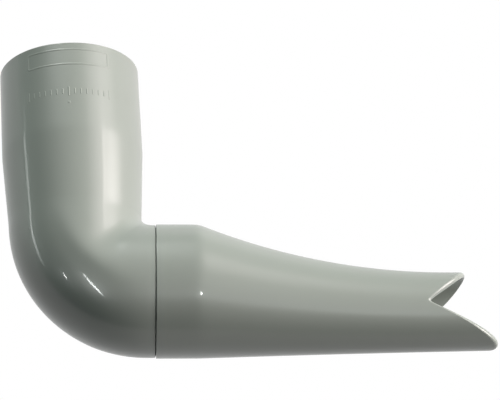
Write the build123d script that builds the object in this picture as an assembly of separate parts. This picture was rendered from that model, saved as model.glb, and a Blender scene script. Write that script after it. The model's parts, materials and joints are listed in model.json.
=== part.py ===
"""Rainwater spout for a 53 mm downpipe: an 87 degree elbow with a fish-mouth spout pushed on its lower end.

Frame: the origin is the centre of the elbow's socket mouth, +Z runs up the pipe that the socket takes,
and the spout points towards +X, 3 degrees below level. All sizes are in millimetres.
"""
import os
from math import asin, cos, degrees, radians, sin, sqrt, tan

from build123d import *

# Downpipe and the socket that takes it
pipe_radius = 26.5
pipe_clearance = 0.2
socket_wall = 1.8
socket_depth = 36.0
socket_length = 37.4
socket_chamfer = 0.4
pipe_stop = 1.2

# Elbow
body_wall = 2.0
bend_angle = 87.0
throat_radius = 3.0
drop_to_leg = 96.4
leg_straight = 2.3
rim_chamfer = 0.3

# Joint between the elbow's hidden spigot and the spout
spigot_length = 15.0
spigot_wall = 1.7
spigot_inset = 1.4
spigot_clearance = 0.05
spigot_neck = 4.0
spigot_chamfer = 0.6
seam_gap = 0.4

# Spout, with distances measured along it from its rim
spout_wall = 2.0
straight_run = 16.8
shoulder_radius = 10.0
fall_angle = 22.6
level_run = 115.0
bottom_rise = 1.15
root_run = 104.2
root_below_centre = 0.6
root_rounding = 0.6
upper_reach = 122.9
lower_reach = 134.3
upper_bow = 1.1

# Sizes that follow
socket_bore = pipe_radius + pipe_clearance
socket_radius = socket_bore + socket_wall
body_radius = pipe_radius
body_bore = body_radius - body_wall
path_radius = body_radius + throat_radius
bend_reach = path_radius * tan(radians(bend_angle / 2))
bend_start = drop_to_leg - bend_reach
leg_run = bend_reach + leg_straight
spigot_radius = body_radius - spigot_inset
spigot_bore = spigot_radius - spigot_wall
spout_radius = body_radius
spout_bore = spigot_radius + spigot_clearance
ledge_run = spigot_length - seam_gap
long_radius = (level_run - straight_run) / sin(radians(fall_angle))

# The angle where the spout's round sections start, under the spout, and the steps along each lip
skin_start = 180
lip_steps = 12

# The lower leg's frame: its Z runs along the leg, its X points up and away from the leg's axis
dip = radians(90 - bend_angle)
leg_frame = Plane(
    origin=(0, 0, -drop_to_leg),
    x_dir=(sin(dip), 0, cos(dip)),
    z_dir=(cos(dip), 0, -sin(dip)),
)
spout_frame = leg_frame.offset(leg_run + seam_gap)


def turned(points):
    """A ring turned from its wall section, given as (radius, height) points."""
    section = Plane.XZ * make_face(Polyline(*points, close=True))
    return revolve(section, Axis.Z)


def elbow_barrel():
    """The upright part: socket with a chamfered mouth and a pipe stop, tapering down to the bend."""
    return turned(
        [
            (socket_bore + socket_chamfer, 0),
            (socket_radius - rim_chamfer, 0),
            (socket_radius, -rim_chamfer),
            (socket_radius, -socket_length),
            (body_radius, -bend_start),
            (body_bore, -bend_start),
            (socket_bore - pipe_stop, -socket_depth),
            (socket_bore, -socket_depth),
            (socket_bore, -socket_chamfer),
        ]
    )


def elbow_bend():
    """The bend: a pipe ring swept round a centre just outside the throat."""
    ring = Circle(body_radius) - Circle(body_bore)
    start = Pos(0, 0, -bend_start) * ring
    centre_line = Axis((path_radius, 0, -bend_start), (0, -1, 0))
    return revolve(start, centre_line, bend_angle)


def elbow_leg():
    """The short lower leg and, past its shoulder, the spigot that hides inside the spout."""
    tip = leg_run + spigot_length
    return turned(
        [
            (body_bore, bend_reach),
            (body_radius, bend_reach),
            (body_radius, leg_run - rim_chamfer),
            (body_radius - rim_chamfer, leg_run),
            (spigot_radius, leg_run),
            (spigot_radius, tip - spigot_chamfer),
            (spigot_radius - spigot_chamfer, tip),
            (spigot_bore, tip),
            (spigot_bore, bend_reach + spigot_neck),
        ]
    )


def top_height(run):
    """Height of the spout's top line over its axis: level, a rounded shoulder, then one long arc."""
    angle = radians(fall_angle)
    tangent = shoulder_radius * tan(angle / 2)
    into_shoulder = run - straight_run + tangent
    if into_shoulder <= 0:
        return spout_radius
    if run < straight_run + tangent * cos(angle):
        return spout_radius - shoulder_radius + sqrt(shoulder_radius**2 - into_shoulder**2)
    to_level = max(level_run - run, 0)
    full_drop = long_radius * (1 - cos(angle))
    return spout_radius - full_drop + long_radius - sqrt(long_radius**2 - to_level**2)


def bottom_height(run):
    """Height of the spout's bottom line, which rises slightly past the straight part."""
    return -spout_radius + tan(radians(bottom_rise)) * max(run - straight_run, 0)


def spout_stations():
    """Distances of the spout's sections, closest together round the shoulder."""
    angle = radians(fall_angle)
    start = straight_run - shoulder_radius * tan(angle / 2)
    turn = shoulder_radius * sin(angle)
    shoulder_steps = 6
    taper_steps = 36
    end = max(upper_reach, lower_reach) + spout_wall
    first = start + turn + shoulder_radius / 10
    level = [start * step / 3 for step in range(3)]
    shoulder = [start + turn * step / shoulder_steps for step in range(shoulder_steps + 1)]
    taper = [first + (end - first) * step / taper_steps for step in range(taper_steps + 1)]
    return level + shoulder + taper


def spout_form(inset):
    """A solid of round sections that follow the top and bottom lines, each smaller by an inset."""
    sections = []
    for run in spout_stations():
        top = top_height(run)
        bottom = bottom_height(run)
        disc = Circle((top - bottom) / 2 - inset)
        sections.append(Pos((top + bottom) / 2, 0, run) * Rot(0, 0, skin_start) * disc)
    return loft(sections)


mouth_radius = (top_height(level_run) - bottom_height(level_run)) / 2
mouth_centre = (top_height(level_run) + bottom_height(level_run)) / 2
root_angle = -degrees(asin(root_below_centre / mouth_radius))


def lip_run(angle):
    """Distance of the lip at an angle in degrees above mid-height; seen from the side it is a V."""
    above_root = mouth_radius * sin(radians(angle)) + root_below_centre
    if above_root < 0:
        share = -above_root / (mouth_radius - root_below_centre)
        return root_run + (lower_reach - root_run) * share
    share = above_root / (mouth_radius + root_below_centre)
    return root_run + (upper_reach - root_run) * share + 4 * upper_bow * share * (1 - share)


def lip_line(reach, start, end):
    """The lip's line between two angles, carried to a distance from the mouth's centre."""
    shares = [step / lip_steps for step in range(lip_steps + 1)]
    points = []
    for share in shares:
        angle = start + (end - start) * share
        height = mouth_centre + reach * sin(radians(angle))
        points.append(Vector(height, reach * cos(radians(angle)), lip_run(angle)))
    return Edge.make_spline(points, parameters=shares)


def mouth_cutter(start, end):
    """All that lies past the lip between two angles, with walls square to the spout's skin."""
    near = lip_line(mouth_radius / 2, start, end)
    far = lip_line(mouth_radius * 3 / 2, start, end)
    lip = Face.make_surface_from_curves(near, far)
    return extrude(lip, amount=lower_reach, dir=(0, 0, 1))


def is_root(edge):
    """True for the two short edges across the wall where the lobes' lips meet."""
    return edge.length < 2 * spout_wall and abs(edge.center().Z - root_run) < root_rounding


def make_elbow():
    """The elbow in one piece: socket, taper, bend, leg and spigot."""
    elbow = elbow_barrel() + elbow_bend() + leg_frame * elbow_leg()
    elbow.label = "elbow"
    return elbow


def make_spout():
    """The spout in one piece: skin, passage, the bore over the spigot and the fish mouth."""
    shell = spout_form(0) - spout_form(spout_wall)
    shell -= extrude(Circle(spout_bore), amount=ledge_run)
    shell -= mouth_cutter(root_angle, 180 - root_angle)
    shell -= mouth_cutter(-180 - root_angle, root_angle)
    roots = [edge for edge in shell.edges() if is_root(edge)]
    shell = fillet(roots, root_rounding)
    shell.label = "spout"
    return spout_frame * shell


os.makedirs("parts", exist_ok=True)
for node, make in (("elbow", make_elbow), ("spout", make_spout)):
    export_step(make(), f"parts/{node}.step")
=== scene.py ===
# %% [markdown]
# # A rainwater spout in two pieces of grey PVC
#
# The object is an elbow that hangs from a downpipe and a fish-mouth spout that is pushed over the elbow's
# lower end. Both are injection mouldings with a semi-gloss skin. The construction is already packed as a
# fixed frame, so this lesson only gives it its looks. It dresses each piece with a finer surface, which also
# has a sharper throat and the small roundings that the construction leaves out, makes the same plastic for
# both, and lights them the way a catalogue would.

# %% Load the frame
import json
from math import asin, ceil, cos, pi, radians, sin, tan

import bpy
import numpy as np
from mathutils import Matrix, Vector


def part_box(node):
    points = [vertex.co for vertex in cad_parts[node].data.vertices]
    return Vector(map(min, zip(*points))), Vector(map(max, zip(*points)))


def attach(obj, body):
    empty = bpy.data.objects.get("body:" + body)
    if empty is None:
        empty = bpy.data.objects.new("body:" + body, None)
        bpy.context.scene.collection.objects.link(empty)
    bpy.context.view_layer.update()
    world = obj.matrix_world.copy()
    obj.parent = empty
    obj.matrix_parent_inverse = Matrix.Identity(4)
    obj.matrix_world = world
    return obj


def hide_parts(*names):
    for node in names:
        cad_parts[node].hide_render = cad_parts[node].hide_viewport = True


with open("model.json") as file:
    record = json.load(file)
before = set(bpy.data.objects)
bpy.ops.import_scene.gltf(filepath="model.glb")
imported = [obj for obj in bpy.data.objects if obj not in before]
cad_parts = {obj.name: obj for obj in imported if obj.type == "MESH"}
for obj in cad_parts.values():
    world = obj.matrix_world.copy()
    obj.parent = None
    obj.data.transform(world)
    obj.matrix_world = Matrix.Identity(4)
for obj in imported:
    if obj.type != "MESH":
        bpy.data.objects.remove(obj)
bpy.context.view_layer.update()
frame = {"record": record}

# %% [markdown]
# ## The dimensions
#
# Everything is in metres, and one millimetre is written as a name, so the values below read like a drawing.
# The bore comes from the mount in the record, and the socket's outside from the elbow's box. The rest
# repeats the construction's sizes, except that the root of the mouth sits half a millimetre lower, where the
# photograph has it. A later cell prints how well the new surfaces agree with the construction's boxes.

# %% Sizes of both pieces
mm = 0.001
socket_bore = frame["record"]["mounts"][0]["dims"]["r_mm"] * mm
socket_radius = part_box("elbow")[1].y
socket_depth = 36.0 * mm
socket_length = 37.4 * mm
mouth_chamfer = 0.4 * mm
pipe_stop = 1.2 * mm
body_radius = 26.5 * mm
wall = 2.0 * mm
bend_angle = radians(87.0)
throat_radius = 3.0 * mm
drop_to_leg = 96.4 * mm
leg_straight = 2.3 * mm
spigot_length = 15.0 * mm
spigot_wall = 1.7 * mm
spigot_inset = 1.4 * mm
spigot_clearance = 0.05 * mm
spigot_neck = 4.0 * mm
spigot_chamfer = 0.6 * mm
seam_gap = 0.4 * mm

straight_run = 16.8 * mm
shoulder_radius = 10.0 * mm
fall_angle = radians(22.6)
level_run = 115.0 * mm
bottom_rise = radians(1.15)
root_run = 104.2 * mm
root_below_centre = 1.1 * mm
upper_reach = 122.9 * mm
lower_reach = 134.3 * mm
upper_bow = 1.1 * mm

path_radius = body_radius + throat_radius
bend_reach = path_radius * tan(bend_angle / 2)
bend_start = drop_to_leg - bend_reach
bend_end = bend_start + path_radius * bend_angle
body_bore = body_radius - wall
spigot_radius = body_radius - spigot_inset
spigot_bore = spigot_radius - spigot_wall
print(f"the upright part is {bend_start / mm:.1f} mm long before the bend")

# %% [markdown]
# ## Surfaces from arrays
#
# Each moulding is one closed wall carried round a path, so its surface is a grid with two parameters: the
# place round the wall's section, and the angle round the pipe. Numpy works out the whole grid at once. A
# sharp corner never catches the light, so the section's corners become small arcs. Points crowd together
# beside each arc, because a vertex normal is shared by its faces and would bend the shading of a long one.


# %% Build a mesh from a grid of points
def grid_quads(rows, columns):
    """Vertex numbers of the quads of a grid that closes on itself both ways."""
    here = np.arange(rows * columns).reshape(rows, columns)
    down = np.roll(here, -1, axis=0)
    across = np.roll(here, -1, axis=1)
    both = np.roll(down, -1, axis=1)
    return np.stack([here, down, both, across], axis=-1).reshape(-1, 4)


def enclosed_volume(points, quads):
    """Sum of the signed tetrahedra from the origin to each half of each quad; positive if faces point out."""
    a, b, c, d = (points[quads[:, corner]] for corner in range(4))
    halves = np.einsum("ij,ij->i", a, np.cross(b, c)) + np.einsum("ij,ij->i", a, np.cross(c, d))
    return halves.sum() / 6


def piece_from_quads(name, points, quads):
    """A smooth-shaded object whose quads are turned to point outwards."""
    volume = enclosed_volume(points, quads)
    if volume < 0:
        quads = quads[:, ::-1]
    mesh = bpy.data.meshes.new(name)
    mesh.from_pydata(points, [], quads)
    mesh.polygons.foreach_set("use_smooth", np.ones(len(quads), dtype=bool))
    mesh.update()
    piece = bpy.data.objects.new(name, mesh)
    bpy.context.scene.collection.objects.link(piece)
    print(f"{name}: {2 * len(quads)} triangles round {abs(volume) / mm**3:.0f} cubic mm")
    return piece


def piece_from_grid(name, grid):
    """An object from a grid of points, rows by columns by 3, that closes on itself both ways."""
    rows, columns = grid.shape[:2]
    return piece_from_quads(name, grid.reshape(-1, 3), grid_quads(rows, columns))


# %% Round the corners of a section
arc_steps = 6
fewest_steps = 4
least_turn = 1e-6


def crowded(start, end, steps):
    """Points from start towards end, half a cosine wave apart, so that they crowd at both ends."""
    share = (1 - np.cos(np.linspace(0, pi, steps + 1))) / 2
    return start + (end - start) * share[:, None]


def rounded_section(corners, spacing, longest_arc=0.45):
    """A closed outline whose corners, each (along, out, rounding), become arcs tangent to their two sides.

    An arc starts rounding * tan(turn / 2) before its corner, at most the longest arc's share of the shorter
    side. A point at a share of the turn lies on the circle of that radius about the centre beside the corner.
    """
    places = np.array([corner[:2] for corner in corners])
    pieces = []
    for number, (_, _, rounding) in enumerate(corners):
        here = places[number]
        back = places[number - 1] - here
        ahead = places[(number + 1) % len(corners)] - here
        lengths = np.hypot(*back), np.hypot(*ahead)
        back, ahead = back / lengths[0], ahead / lengths[1]
        turn = pi - np.arccos(np.clip(back @ ahead, -1, 1))
        if rounding == 0 or turn < least_turn:
            pieces.append(here[None, :])
            continue
        reach = min(rounding * tan(turn / 2), longest_arc * min(lengths))
        radius = reach / tan(turn / 2)
        middle = here + (back + ahead) / np.hypot(*(back + ahead)) * radius / cos(turn / 2)
        share = np.linspace(-0.5, 0.5, arc_steps + 1)[:, None] * turn
        outward = (here - middle) / np.hypot(*(here - middle))
        along_arc = (ahead - back) / np.hypot(*(ahead - back))
        pieces.append(middle + radius * (np.cos(share) * outward + np.sin(share) * along_arc))
    outline = []
    for number, piece in enumerate(pieces):
        following = pieces[(number + 1) % len(pieces)][0]
        steps = max(fewest_steps, ceil(np.hypot(*(following - piece[-1])) / spacing))
        outline += [piece[:-1], crowded(piece[-1], following, steps)[:-1]]
    return np.concatenate(outline)


# %% [markdown]
# ## The elbow
#
# The real elbow leaves its mould as one wall: a socket with a small lead-in and a stop for the downpipe, a
# body that narrows on its way down, a tight bend, and a spigot that hides inside the spout. It could be
# joined from a cylinder, a torus and a second cylinder, but the joints would show in the gloss. Instead one
# section runs the whole way down, round and out, so the skin has no break.
#
# The construction bends as a plain torus, but the real bend doesn't. Its back is one wide arc, while towards
# the throat the upright and the leg run on until they meet in a crease with a small fillet, which fades out
# round the side. So each line along the pipe turns with a fillet radius of its own: small near the throat,
# the torus's own at the back.

# %% The turn of each line along the pipe
crease_radius = 4.5 * mm
bend_margin = 1.5 * mm
crease_sharp = radians(52)
crease_gone = radians(112)
crowding_in_bend = 0.6


def turning_radius(radius, angle):
    """Fillet radius of the line that runs along the pipe at a radius and an angle from the throat's side.

    It goes from the crease's radius to the torus's along a smooth step in the angle. Further in, the wall's
    inner side turns with the same centre, so its fillet is larger by the depth.
    """
    share = np.clip((np.arccos(np.cos(angle)) - crease_sharp) / (crease_gone - crease_sharp), 0, 1)
    torus = path_radius - radius * np.cos(angle)
    crease = crease_radius + body_radius - radius
    return crease + (torus - crease) * share**2 * (3 - 2 * share)


def along_elbow(distance, radius, angle):
    """Points of the elbow at distances along it, radii from its centre line and angles from the throat.

    Each line goes straight down, turns by the bend angle on an arc of its turning radius, tangent to both
    straight parts, and goes straight on. The zone that holds the turn is longer than the bend by a margin at
    both ends. Where the arc is smaller than the torus's, the straight parts run on into the zone by their
    difference times the tangent of half the bend. Rows crowd by a sine at the middle of the zone.
    """
    zone_start, zone_end = bend_start - bend_margin, bend_end + bend_margin
    arc = turning_radius(radius, angle)
    torus = path_radius - radius * np.cos(angle)
    run_on = bend_margin + (torus - arc) * tan(bend_angle / 2)
    share = np.clip((distance - zone_start) / (zone_end - zone_start), 0, 1)
    share = share + crowding_in_bend * np.sin(2 * pi * share) / (2 * pi)
    travel = share * (2 * run_on + arc * bend_angle)
    turn = np.clip((travel - run_on) / arc, 0, bend_angle)
    before = np.minimum(distance, zone_start) + np.minimum(travel, run_on)
    after = np.maximum(travel - run_on - arc * bend_angle, 0) + np.maximum(distance - zone_end, 0)
    x = radius * np.cos(angle) + arc * (1 - np.cos(turn)) + after * sin(bend_angle)
    z = -before - arc * np.sin(turn) - after * cos(bend_angle)
    y = np.broadcast_to(-radius * np.sin(angle), x.shape)
    return np.stack([x, y, z], axis=-1)


# %% Carry the wall's section along the elbow
leg_end = bend_end + leg_straight
spigot_tip = leg_end + spigot_length
soft_corner = 60 * mm
inside_corner = 1 * mm
edge_rounding = 0.35 * mm
fine_rounding = 0.15 * mm
groove_rounding = 0.05 * mm
leg_draft = 0.3 * mm
draft_length = 7 * mm
butt_length = 0.22 * mm
groove_depth = 0.8 * mm
elbow_corners = [
    (0, socket_radius, edge_rounding),
    (socket_length, socket_radius, soft_corner),
    (bend_start, body_radius, soft_corner),
    (bend_end - draft_length, body_radius, soft_corner),
    (leg_end, body_radius - leg_draft, fine_rounding),
    (leg_end + butt_length, body_radius - groove_depth, groove_rounding),
    (leg_end + butt_length, spigot_radius, fine_rounding),
    (spigot_tip - spigot_chamfer, spigot_radius, fine_rounding),
    (spigot_tip, spigot_radius - spigot_chamfer, fine_rounding),
    (spigot_tip, spigot_bore, fine_rounding),
    (bend_end + spigot_neck, spigot_bore, inside_corner),
    (bend_end, body_bore, inside_corner),
    (bend_start, body_bore, inside_corner),
    (socket_depth, socket_bore - pipe_stop, edge_rounding),
    (socket_depth, socket_bore, edge_rounding),
    (mouth_chamfer, socket_bore, fine_rounding),
    (0, socket_bore + mouth_chamfer, fine_rounding),
]
elbow_spacing = 0.9 * mm
elbow_columns = 216
elbow_section = rounded_section(elbow_corners, elbow_spacing)
elbow_angles = np.linspace(0, 2 * pi, elbow_columns, endpoint=False)[None, :]
elbow_rows, elbow_radii = elbow_section[:, :1], elbow_section[:, 1:]
elbow_moulding = piece_from_grid("elbow_moulding", along_elbow(elbow_rows, elbow_radii, elbow_angles))

# %% [markdown]
# ## The spout
#
# The spout starts as a round rim, breaks over a soft shoulder and then falls away in one long arc, while its
# underside stays almost straight. Its sections stay round, so two curves seen from the side, the top line
# and the bottom line, give the whole skin. The mouth is a V seen from the side: a short upper lobe, a long
# lower lobe and a small root where they meet. Cutting that V out with a boolean would leave ragged faces at
# the lips. Here the grid's far edge lies on the lip instead, and the wall turns over it.


# %% Height of the top and bottom lines
def top_height(run):
    """Level to the shoulder's tangent, then a circle of the shoulder radius, then one large circle."""
    tangent = shoulder_radius * tan(fall_angle / 2)
    into_shoulder = np.clip(run - straight_run + tangent, 0, shoulder_radius)
    shoulder = body_radius - shoulder_radius + np.sqrt(shoulder_radius**2 - into_shoulder**2)
    long_radius = (level_run - straight_run) / sin(fall_angle)
    to_level = np.clip(level_run - run, 0, long_radius)
    long_arc = body_radius + long_radius * cos(fall_angle) - np.sqrt(long_radius**2 - to_level**2)
    return np.where(run < straight_run + tangent * cos(fall_angle), shoulder, long_arc)


def bottom_height(run):
    """Level under the straight part, then rising at a small constant angle."""
    return -body_radius + tan(bottom_rise) * np.maximum(run - straight_run, 0)


mouth_radius = float(top_height(level_run) - bottom_height(level_run)) / 2
root_angle = -asin(root_below_centre / mouth_radius)
print(f"the mouth is {2 * mouth_radius / mm:.1f} mm across")


# %% The lip, as a distance along the spout for each angle
lip_outer_rounding = 1.4 * mm
lip_inner_rounding = 0.3 * mm
root_softness = 0.7 * mm
root_carried_on = 1.2 * mm
lower_bow = 1.0 * mm


def lip_run(angle):
    """Distance of the lip from the rim at an angle above mid-height.

    Seen from the side each lobe's lip is a nearly straight line in the height above the root, and bows by a
    parabola. A hyperbola in place of the bare V rounds the root. The lip's wide outer rounding starts about
    where the construction's plain cut lies, so the root is carried on a little past it.
    """
    root = root_run + root_carried_on
    above = mouth_radius * np.sin(angle) + root_below_centre
    upper_height = mouth_radius + root_below_centre
    lower_height = mouth_radius - root_below_centre
    share = np.maximum(above, 0) / upper_height
    upper = (upper_reach - root) * share + 4 * upper_bow * share * (1 - share)
    share = np.maximum(-above, 0) / lower_height
    lower = (lower_reach - root) * share + 4 * lower_bow * share * (1 - share)
    upper_slope = (upper_reach - root + 4 * upper_bow) / upper_height
    lower_slope = (lower_reach - root + 4 * lower_bow) / lower_height
    rounding = (upper_slope + lower_slope) / 2 * (np.hypot(above, root_softness) - np.abs(above))
    return root + upper + lower + rounding


def crowded_angles(steps, crowding):
    """Angles round the pipe that crowd at the two roots of the mouth by a hyperbolic sine."""
    share = np.sinh(crowding * np.linspace(0, 1, steps + 1)) / np.sinh(crowding)
    up = root_angle + (pi / 2 - root_angle) * share
    down = root_angle - (pi / 2 + root_angle) * share
    near_half = np.concatenate([down[:0:-1], up])
    far_half = pi - near_half[-2:0:-1]
    return np.concatenate([near_half, far_half])


quarter_steps = 56
root_crowding = 3.6
spout_angles = crowded_angles(quarter_steps, root_crowding)
print(f"{len(spout_angles)} angles round the spout")

# %% [markdown]
# The section of the spout's wall is drawn once, for a lip at a fixed distance. For each angle the stretch
# between the shoulder and the lip is then scaled so that its end meets the lip there, and the last few
# millimetres only slide, which keeps the lip's small roundings the same all round the mouth.

# %% Stretch the spout's section to its lip and carry it round
spout_spacing = 1.3 * mm
lip_longest_arc = 0.7
before_shoulder = 13 * mm
taper_start = 21 * mm
nominal_lip = 118 * mm
edge_zone = 3 * mm
bore_inset = body_radius - spigot_radius - spigot_clearance
ledge_run = spigot_length - seam_gap
spout_corners = [
    (0, 0, fine_rounding),
    (before_shoulder, 0, 0),
    (taper_start, 0, 0),
    (nominal_lip - edge_zone, 0, 0),
    (nominal_lip, 0, lip_outer_rounding),
    (nominal_lip, wall, lip_inner_rounding),
    (nominal_lip - edge_zone, wall, 0),
    (taper_start, wall, 0),
    (ledge_run, wall, fine_rounding),
    (ledge_run, bore_inset, fine_rounding),
    (0, bore_inset, fine_rounding),
]
spout_section = rounded_section(spout_corners, spout_spacing, lip_longest_arc)


def stretched(drawn, lip):
    """Drawn distances, rows by 1, carried to the lip's distances, 1 by columns.

    Nothing moves before the taper, the taper is scaled, and the edge zone slides with the lip.
    """
    scale = (lip - edge_zone - taper_start) / (nominal_lip - edge_zone - taper_start)
    taper = taper_start + (drawn - taper_start) * scale
    edge = lip - (nominal_lip - drawn)
    return np.where(drawn <= taper_start, drawn, np.where(drawn < nominal_lip - edge_zone, taper, edge))


run = stretched(spout_section[:, 0][:, None], lip_run(spout_angles)[None, :])
top, bottom = top_height(run), bottom_height(run)
ring = (top - bottom) / 2 - spout_section[:, 1][:, None]
height = (top + bottom) / 2 + ring * np.sin(spout_angles)
side = ring * np.cos(spout_angles)

rim_centre = along_elbow(np.array(leg_end + seam_gap), 0, 0)
run_way = np.array([sin(bend_angle), 0, -cos(bend_angle)])
up_way = np.array([cos(bend_angle), 0, sin(bend_angle)])
side_way = np.array([0, 1, 0])
spout_points = rim_centre
for amount, way in ((height, up_way), (side, side_way), (run, run_way)):
    spout_points = spout_points + amount[..., None] * way
spout_moulding = piece_from_grid("spout_moulding", spout_points)

# %% Compare the new surfaces with the construction
for piece, node in ((elbow_moulding, "elbow"), (spout_moulding, "spout")):
    flat = np.empty(3 * len(piece.data.vertices))
    piece.data.vertices.foreach_get("co", flat)
    places = flat.reshape(-1, 3)
    low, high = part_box(node)
    under = (places.min(0) - np.array(low)) / mm
    over = (places.max(0) - np.array(high)) / mm
    print(f"{node}: low differs by {under.round(3)} mm, high by {over.round(3)} mm")

# %% [markdown]
# ## Raised marks on the socket
#
# The mould leaves low raised marks on the side of the socket that faces the viewer: an empty frame, a row of
# ticks to set the elbow square on the pipe, and the small dome of the gate. They stand a tenth of a
# millimetre proud, too low to show in the silhouette, and a bump map would do for one view. They are made as
# real ridges, because the exported mesh should hold them too.


# %% Wrap flat outlines on the socket
def on_socket(across, up, proud):
    """Points on the socket's near side: across is an arc length, up a height, proud the height of relief."""
    turn = across / socket_radius
    out = socket_radius + proud
    return np.stack([out * np.sin(turn), -out * np.cos(turn), up], axis=-1)


def rounded_rectangle(width, depth, rounding, steps):
    """Points and outward directions round a rectangle whose corners are quarter circles."""
    turn = np.linspace(0, pi / 2, steps)
    angles = (turn[None, :] + np.arange(4)[:, None] * pi / 2).ravel()
    outward = np.stack([np.cos(angles), np.sin(angles)], axis=-1)
    centres = np.sign(np.stack([np.cos(angles), np.sin(angles)], axis=-1).reshape(4, steps, 2).mean(1))
    centres = np.repeat(centres, steps, axis=0) * np.array([width / 2 - rounding, depth / 2 - rounding])
    return centres + rounding * outward, outward


def split_long(points, outward, spacing):
    """The same closed line with its long straight sides divided, so that it can follow the round socket."""
    gaps = np.hypot(*(np.roll(points, -1, axis=0) - points).T)
    counts = np.maximum(1, np.ceil(gaps / spacing).astype(int))
    start = np.repeat(np.arange(len(points)), counts)
    share = np.concatenate([np.arange(count) / count for count in counts])[:, None]
    following = (start + 1) % len(points)
    spread = [line[start] * (1 - share) + line[following] * share for line in (points, outward)]
    return spread[0], spread[1] / np.hypot(*spread[1].T)[:, None]


relief = 0.11 * mm
buried = 0.25 * mm
corner_steps = 8
ridge_steps = 9
side_spacing = 1 * mm


def ridge(width, depth, rounding, ridge_width, across, up):
    """A grid for a low ridge along a rounded rectangle: its section is half an ellipse on a buried foot."""
    line, outward = split_long(*rounded_rectangle(width, depth, rounding, corner_steps), side_spacing)
    turn = np.linspace(0, pi, ridge_steps)
    offset = np.concatenate([ridge_width / 2 * np.cos(turn), [-ridge_width / 2, ridge_width / 2]])
    proud = np.concatenate([relief * np.sin(turn), [-buried, -buried]])
    spots = line[None, :, :] + offset[:, None, None] * outward[None, :, :]
    return on_socket(across + spots[..., 0], up + spots[..., 1], proud[:, None])


frame_half_angle = radians(34)
frame_height = 6.6 * mm
frame_below_rim = 3.1 * mm
frame_rounding = 0.8 * mm
frame_line = 0.85 * mm
frame_width = 2 * frame_half_angle * socket_radius
frame_centre = -frame_below_rim - frame_height / 2
bare_frame = piece_from_grid(
    "bare_frame", ridge(frame_width, frame_height, frame_rounding, frame_line, 0, frame_centre)
)


# %% Domes and ticks
squareness = 0.35
tip_share = 0.02


def closed_pad(width, depth, across, up, rings=6, steps=32):
    """Points and quads of a low pad: rings shrink as a cosine while they rise as a sine, on a buried foot.

    A ring takes the cosine and the sine of its angle to a power below one, which makes it squarish.
    """
    rise = np.linspace(0, pi / 2, rings)
    shrink = np.concatenate([[1], np.cos(rise[:-1]), [tip_share]])
    proud = np.concatenate([[-buried], relief * np.sin(rise)])
    turn = np.linspace(0, 2 * pi, steps, endpoint=False)
    round_x = np.sign(np.cos(turn)) * np.abs(np.cos(turn)) ** squareness
    round_y = np.sign(np.sin(turn)) * np.abs(np.sin(turn)) ** squareness
    narrow = min(width, depth) / 2
    inset = narrow * (1 - shrink)[:, None]
    x = (width / 2 - inset) * round_x[None, :]
    y = (depth / 2 - inset) * round_y[None, :]
    points = on_socket(across + x, up + y, proud[:, None]).reshape(-1, 3)
    here = np.arange(len(shrink) * steps).reshape(len(shrink), steps)
    turned = np.roll(here, -1, axis=1)
    sides = np.stack([here[:-1], here[1:], turned[1:], turned[:-1]], axis=-1).reshape(-1, 4)
    ends = []
    for ring_row, ring_order in ((here[0], 1), (here[-1], -1)):
        half = steps // 2
        row = ring_row[::ring_order]
        strip = np.arange(half - 1)
        ends.append(np.stack([row[strip], row[strip + 1], row[-strip - 2], row[-strip - 1]], axis=-1))
    return points, np.concatenate([sides, *ends])


def joined(parts):
    """Several (points, quads) as one, with the later vertex numbers moved on."""
    points, quads, count = [], [], 0
    for part_points, part_quads in parts:
        points.append(part_points)
        quads.append(part_quads + count)
        count += len(part_points)
    return np.concatenate(points), np.concatenate(quads)


tick_count = 15
long_tick_every = 7
tick_half_angle = radians(34)
tick_centre = -22 * mm
tick_width = 0.6 * mm
long_tick, short_tick = 4.2 * mm, 2.4 * mm
tick_places = np.linspace(-tick_half_angle, tick_half_angle, tick_count) * socket_radius
tick_parts = []
for number, place in enumerate(tick_places):
    tick_height = short_tick if (number - tick_count // 2) % long_tick_every else long_tick
    tick_parts.append(closed_pad(tick_width, tick_height, place, tick_centre))
alignment_ticks = piece_from_quads("alignment_ticks", *joined(tick_parts))

dot_width = 1.1 * mm
dot_centre = -27 * mm
gate_dot = piece_from_quads("gate_dot", *closed_pad(dot_width, dot_width, 0, dot_centre))

# %% [markdown]
# ## Shader sums in Python
#
# A procedural material is a graph of small sums. Adding each Math node by hand hides the idea, so a small
# class wraps a socket and lets Python's own operators add the nodes.


# %% Wrap a socket
class Wire:
    """A node's output that takes part in Python sums; each operator adds one Math node."""

    def __init__(self, shader, socket):
        self.shader = shader
        self.socket = socket

    def sum_with(self, operation, first, second):
        """The result of one Math node."""
        return self.shader.node("ShaderNodeMath", {"operation": operation}, {0: first, 1: second})

    def __add__(self, other):
        return self.sum_with("ADD", self, other)

    def __radd__(self, other):
        return self.sum_with("ADD", other, self)

    def __rsub__(self, other):
        return self.sum_with("SUBTRACT", other, self)

    def __mul__(self, other):
        return self.sum_with("MULTIPLY", self, other)

    def __rmul__(self, other):
        return self.sum_with("MULTIPLY", other, self)


class Shader:
    """A material's, lamp's or world's node tree, with a method that adds a node to it."""

    def __init__(self, owner):
        owner.use_nodes = True
        self.owner = owner
        self.tree = owner.node_tree
        self.tree.nodes.clear()

    def node(self, kind, settings, sockets, output=0):
        """Add a node, set its settings, then give each socket a value or a link; returns one output."""
        made = self.tree.nodes.new(kind)
        for name, setting in settings.items():
            setattr(made, name, setting)
        for name, given in sockets.items():
            if isinstance(given, Wire):
                self.tree.links.new(given.socket, made.inputs[name])
            else:
                made.inputs[name].default_value = given
        return Wire(self, made.outputs[output]) if len(made.outputs) else None

    def blend(self, share, first, second):
        """A colour that goes from the first to the second as the share goes from 0 to 1."""
        return self.node("ShaderNodeMix", {"data_type": "RGBA"}, {0: share, 6: first, 7: second}, 2)


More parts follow.
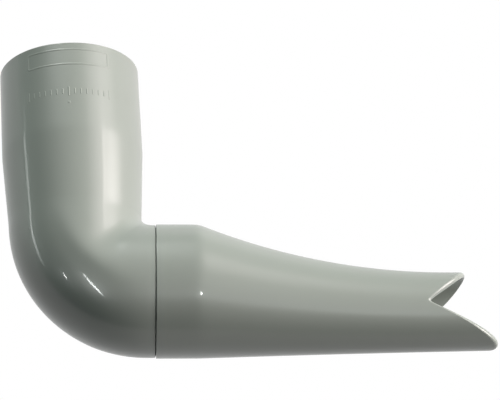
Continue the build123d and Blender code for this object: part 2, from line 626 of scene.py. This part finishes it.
# %% [markdown]
# ## The plastic
#
# Pipe-grade PVC is opaque and its skin copies the mould: nearly smooth, with a faint orange peel a couple of
# millimetres across and a grain far finer than that. The pigment isn't perfectly mixed, so the grey drifts by
# a percent or two, drawn out a little along the way the melt ran. Each of these is a noise on Object
# coordinates, which stay with the piece, and only colour, roughness and bump change over the surface.


# %% One material for each moulding
def noise(shader, place, scale, detail=2.0):
    """A noise from 0 to 1 whose features are about 1/scale metres wide."""
    return shader.node("ShaderNodeTexNoise", {}, {"Vector": place, "Scale": scale, "Detail": detail}, "Fac")


def moulded_pvc(name, dark, light, flow):
    """Semi-gloss grey PVC whose tone drifts from dark to light, drawn out along the flow direction."""
    shader = Shader(bpy.data.materials.new(name))
    place = shader.node("ShaderNodeTexCoord", {}, {}, "Object")
    drawn_out = shader.node("ShaderNodeMapping", {}, {"Vector": place, "Scale": flow})
    drift = noise(shader, drawn_out, 30)
    streak = noise(shader, drawn_out, 240)
    speck = noise(shader, place, 2200)
    tone = 0.55 * drift + 0.25 * streak + 0.2 * speck
    colour = shader.blend(tone, dark, light)
    peel = noise(shader, place, 420)
    grain = noise(shader, place, 5200, 1.0)
    relief_map = 0.75 * peel + 0.25 * grain
    bump = shader.node("ShaderNodeBump", {}, {"Strength": 0.12, "Distance": 0.02 * mm, "Height": relief_map})
    gloss = 0.29 + 0.07 * drift + 0.03 * speck
    finish = {"Base Color": colour, "Roughness": gloss, "IOR": 1.5, "Normal": bump}
    skin = {"Coat Weight": 0.4, "Coat Roughness": 0.06, "Coat IOR": 1.5}
    plastic = shader.node("ShaderNodeBsdfPrincipled", {}, finish | skin)
    shader.node("ShaderNodeOutputMaterial", {}, {"Surface": plastic})
    return shader.owner


elbow_pvc = moulded_pvc("elbow_pvc", (0.285, 0.319, 0.287, 1), (0.315, 0.351, 0.317, 1), (1.0, 1.0, 0.35))
spout_pvc = moulded_pvc("spout_pvc", (0.283, 0.317, 0.285, 1), (0.313, 0.349, 0.315, 1), (0.35, 1.0, 1.0))
print("nodes in each plastic:", [len(pvc.node_tree.nodes) for pvc in (elbow_pvc, spout_pvc)])

# %% Give each piece its body and its finish
dressing = [
    (elbow_moulding, "grey_pvc_elbow", elbow_pvc),
    (spout_moulding, "grey_pvc_spout", spout_pvc),
    (bare_frame, "grey_pvc_elbow", elbow_pvc),
    (alignment_ticks, "grey_pvc_elbow", elbow_pvc),
    (gate_dot, "grey_pvc_elbow", elbow_pvc),
]
for piece, slot, finish in dressing:
    piece.data.materials.append(finish)
    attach(piece, "root")
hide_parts("elbow")
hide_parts("spout")
print(f"{len(dressing)} pieces dressed")

# %% [markdown]
# ## The camera
#
# The photograph looks up at the spout from below and a little to its left. Its place was worked out by
# fitting a camera to the outline of the real sizes, so it is written as the point looked at, three angles
# and a distance. The lens is long, and a small shift frames the object as the photograph does.

# %% Camera
image_width = 500
aim = Vector((60, 0, -70)) * mm
azimuth, elevation, roll = -0.07506, -0.4157, -0.07697
distance = 735.27 * mm
focal_pixels = 1827.2

towards_camera = Vector((sin(azimuth) * cos(elevation), -cos(azimuth) * cos(elevation), sin(elevation)))
level_right = Vector((cos(azimuth), sin(azimuth), 0))
level_up = towards_camera.cross(level_right)
right = cos(roll) * level_right + sin(roll) * level_up
up = cos(roll) * level_up - sin(roll) * level_right
turned = Matrix((right, up, towards_camera)).transposed().to_4x4()

camera_data = bpy.data.cameras.new("camera")
camera_data.sensor_width = 36
camera_data.lens = camera_data.sensor_width * focal_pixels / image_width
camera_data.shift_x = 0.05002
camera_data.shift_y = 0.04671
camera = bpy.data.objects.new("camera", camera_data)
camera.matrix_world = Matrix.Translation(aim + distance * towards_camera) @ turned
bpy.context.scene.collection.objects.link(camera)
bpy.context.scene.camera = camera
print(f"lens {camera_data.lens:.1f} mm, camera at {[round(v, 3) for v in camera.matrix_world.translation]}")

# %% [markdown]
# ## Light
#
# Most of the light comes from the viewer's right: a very large soft box level with the object, and a weaker
# one above it. A box over the left shoulder keeps the top of each curve from going black, a faint one fills
# the front, a low one on the left fills the underside, and one behind lights the back. Five narrow strips
# are seen only in the gloss. Each draws a line or a spot there, and its place follows from the mirror rule,
# since the surface's normal halves the angle between the eye and the lamp.
#
# The eye sees a white ground. The gloss sees a light grey one behind the object and a dim, cool room in front
# of it, because a white room on all sides would wash the plastic out. The ground and the floor are only seen
# and give no diffuse light, so the grey keeps its value.


# %% Lamps
lamp_away = 1.2


def feathered_glow(lamp_data):
    """Let an area lamp fade to its edges: one minus the square of the place, across times along."""
    glow = Shader(lamp_data)
    place = glow.node("ShaderNodeNewGeometry", {}, {}, "Parametric")
    fades = []
    for axis in ("X", "Y"):
        share = glow.node("ShaderNodeSeparateXYZ", {}, {"Vector": place}, axis)
        fades.append(4 * share * (1 - share))
    light = glow.node("ShaderNodeEmission", {}, {"Color": (1, 1, 1, 1), "Strength": fades[0] * fades[1]})
    glow.node("ShaderNodeOutputLight", {}, {"Surface": light})


def soft_box(name, turn, rise, width, tall, power, colour):
    """An area lamp at a turn to the viewer's right and a rise over the horizon, which faces the aim."""
    turn, rise = radians(turn), radians(rise)
    way = Vector((sin(turn) * cos(rise), -cos(turn) * cos(rise), sin(rise)))
    lamp_data = bpy.data.lights.new(name, "AREA")
    lamp_data.shape = "RECTANGLE"
    lamp_data.size, lamp_data.size_y = width, tall
    lamp_data.energy = power
    lamp_data.color = colour
    feathered_glow(lamp_data)
    lamp = bpy.data.objects.new(name, lamp_data)
    spin = way.to_track_quat("Z", "Y").to_matrix().to_4x4()
    lamp.matrix_world = Matrix.Translation(aim + lamp_away * way) @ spin
    lamp.visible_camera = False
    bpy.context.scene.collection.objects.link(lamp)
    return lamp


warm_light = (1.000, 0.919, 0.908)
cool_light = (0.963, 1.000, 0.976)
soft_box("key_box", 68, -1, 0.9, 1.25, 51, warm_light)
soft_box("high_box", 48, 24, 1.1, 1.1, 11.2, warm_light)
soft_box("shoulder_box", -25, 52, 0.6, 0.75, 20, cool_light)
soft_box("front_box", 20, -8, 1.0, 0.6, 1.52, cool_light)
soft_box("low_box", -110, -28, 1.1, 0.5, 3.41, cool_light).visible_glossy = False
soft_box("back_box", -176, 25, 1.2, 0.8, 30, cool_light).visible_glossy = False

# %% Strips that are seen only in the gloss
strips = [
    soft_box("streak_strip", 51, 20, 0.14, 0.50, 1.2, warm_light),
    soft_box("left_strip", -80.5, 9, 0.10, 0.85, 2.56, cool_light),
    soft_box("low_strip", -35.5, -24, 0.05, 0.50, 5.2, cool_light),
    soft_box("edge_strip", -59, -18.5, 0.02, 0.11, 1.1, cool_light),
    soft_box("low_spot", 9.5, -26.5, 0.05, 0.12, 4.2, cool_light),
]
for strip in strips:
    strip.visible_diffuse = False

# %% Floor
def ray(shader, kind):
    """1 for a ray of this kind, such as one from the eye, and 0 for any other."""
    return shader.node("ShaderNodeLightPath", {}, {}, f"Is {kind} Ray")


floor_size = 60.0
floor_level = -1.6
floor_grey = (0.86, 0.86, 0.86, 1)
floor_roughness = 0.7
floor_glow = (0.8, 0.8, 0.8, 1)
black = (0, 0, 0, 1)
corners = np.array([(-1, -1), (1, -1), (1, 1), (-1, 1)]) * floor_size / 2
floor_mesh = bpy.data.meshes.new("floor")
floor_mesh.from_pydata([(x, y, floor_level) for x, y in corners], [], [(0, 1, 2, 3)])
floor = bpy.data.objects.new("floor", floor_mesh)
bpy.context.scene.collection.objects.link(floor)
floor.visible_diffuse = False
floor.visible_glossy = False
floor_shader = Shader(bpy.data.materials.new("pale_floor"))
glow = floor_shader.blend(ray(floor_shader, "Camera"), black, floor_glow)
floor_finish = {"Base Color": floor_grey, "Roughness": floor_roughness}
floor_light = {"Emission Color": glow, "Emission Strength": 1}
floor_surface = floor_shader.node("ShaderNodeBsdfPrincipled", {}, floor_finish | floor_light)
floor_shader.node("ShaderNodeOutputMaterial", {}, {"Surface": floor_surface})
floor_mesh.materials.append(floor_shader.owner)
print(f"a floor of {floor_size:.0f} m at {floor_level} m")

# %% World
white = (1, 1, 1, 1)
mirrored_room = (0.29, 0.36, 0.34, 1)
mirrored_ground = (0.85, 0.85, 0.85, 1)
change_half_width = 0.03
world = bpy.data.worlds.new("white_ground")
bpy.context.scene.world = world
sky = Shader(world)
seen, mirrored, passed = (ray(sky, kind) for kind in ("Camera", "Glossy", "Transmission"))
way = sky.node("ShaderNodeTexCoord", {}, {}, "Generated")
behind = sky.node("ShaderNodeSeparateXYZ", {}, {"Vector": way}, "Y")
change = {"Value": behind, "From Min": -change_half_width, "From Max": change_half_width}
backdrop = sky.node("ShaderNodeMapRange", {}, change)
mirror_sight = sky.blend(backdrop, mirrored_room, mirrored_ground)
colour = sky.blend(mirrored, white, mirror_sight)
ground = sky.node("ShaderNodeBackground", {}, {"Color": colour, "Strength": seen + mirrored + passed})
sky.node("ShaderNodeOutputWorld", {}, {"Surface": ground})
print(f"a world of {len(world.node_tree.nodes)} nodes")
bpy.context.scene.view_settings.view_transform = "Standard"

# %% [markdown]
# ## Finish
#
# At the end the view layer is brought up to date.

# %% Close
bpy.context.view_layer.update()
